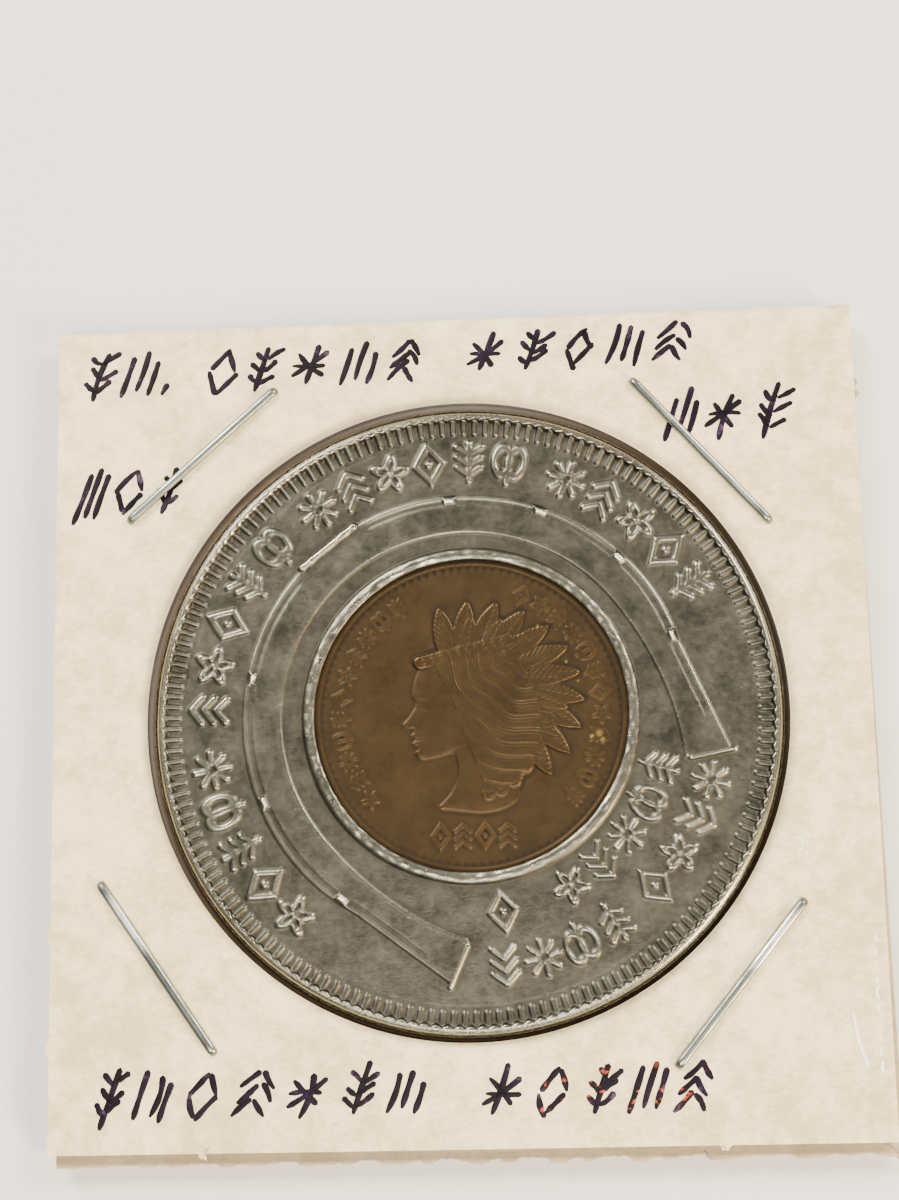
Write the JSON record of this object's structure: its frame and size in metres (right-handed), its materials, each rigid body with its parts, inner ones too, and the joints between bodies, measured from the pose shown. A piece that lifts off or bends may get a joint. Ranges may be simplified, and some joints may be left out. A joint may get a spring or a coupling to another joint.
{
  "type": "coin holder with encased cent",
  "caption": "Flat square folded-card coin holder with film windows, stapled shut over an aluminium disc struck round a bronze cent.",
  "frame": {"origin": "middle of the outline, on the surface that the holder lies on, which is the back film's flat face", "axes": "+Z out of the front window, +Y up the face towards the folded edge, +X to the right of someone reading the front"},
  "size_m": [0.0504, 0.052, 0.0028],
  "materials": {
    "board": "matt uncoated paperboard",
    "clear_film": "clear polyester film",
    "staple_wire": "galvanised wire",
    "aluminium": "struck, worn and dulled",
    "bronze": "struck, worn and browned"
  },
  "bodies": {
    "holder": {"front_leaf": "board", "back_leaf": "board", "front_film": "clear_film", "back_film": "clear_film", "staple_top_left": "staple_wire", "staple_top_right": "staple_wire", "staple_bottom_left": "staple_wire", "staple_bottom_right": "staple_wire"},
    "cent_piece": {"aluminium_disc": "aluminium", "cent": "bronze"}
  },
  "joints": [
    {"name": "coin_turn", "type": "hinge", "parent": "holder", "child": "cent_piece", "pos_m": [0.00033, 0.00061, 0.0014], "axis": [0, 0, 1], "continuous": true}
  ]
}
